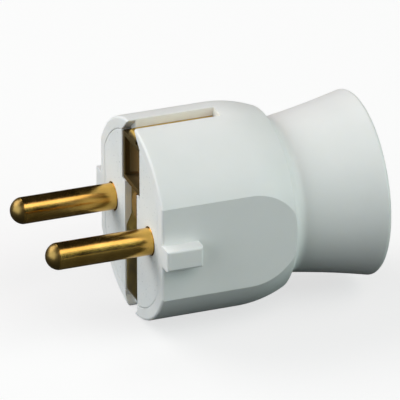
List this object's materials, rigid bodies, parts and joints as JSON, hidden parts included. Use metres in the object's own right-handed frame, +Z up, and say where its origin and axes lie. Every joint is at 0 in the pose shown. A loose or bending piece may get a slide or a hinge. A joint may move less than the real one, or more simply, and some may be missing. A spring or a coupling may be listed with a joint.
{
  "type": "electrical plug",
  "caption": "White rewirable mains plug with round brass pins, side earth contacts, an earth receptacle in the pin face and a flared grip with a cord inlet.",
  "frame": {"origin": "centre of the pin face, midway between the two contact pins", "axes": "-X along the pins towards the socket, +X to the rear of the grip, Y across the pins, +Z up to the earth receptacle"},
  "size_m": [0.0615, 0.037, 0.0362],
  "materials": {
    "white_plastic": "moulded, satin gloss",
    "carrier_plastic": "moulded, satin",
    "brass": "drawn and turned, bare",
    "screw_steel": "zinc plated"
  },
  "bodies": {
    "root": {"housing": "white_plastic", "pin_carrier": "carrier_plastic", "line_pin": "brass", "neutral_pin": "brass", "line_terminal_screw": "screw_steel", "neutral_terminal_screw": "screw_steel", "earth_strap": "brass", "earth_receptacle": "brass", "earth_terminal": "brass", "earth_terminal_screw": "screw_steel", "assembly_screw": "brass", "cord_clamp_bar": "carrier_plastic", "cord_clamp_screw_near": "screw_steel", "cord_clamp_screw_far": "screw_steel"}
  },
  "joints": []
}
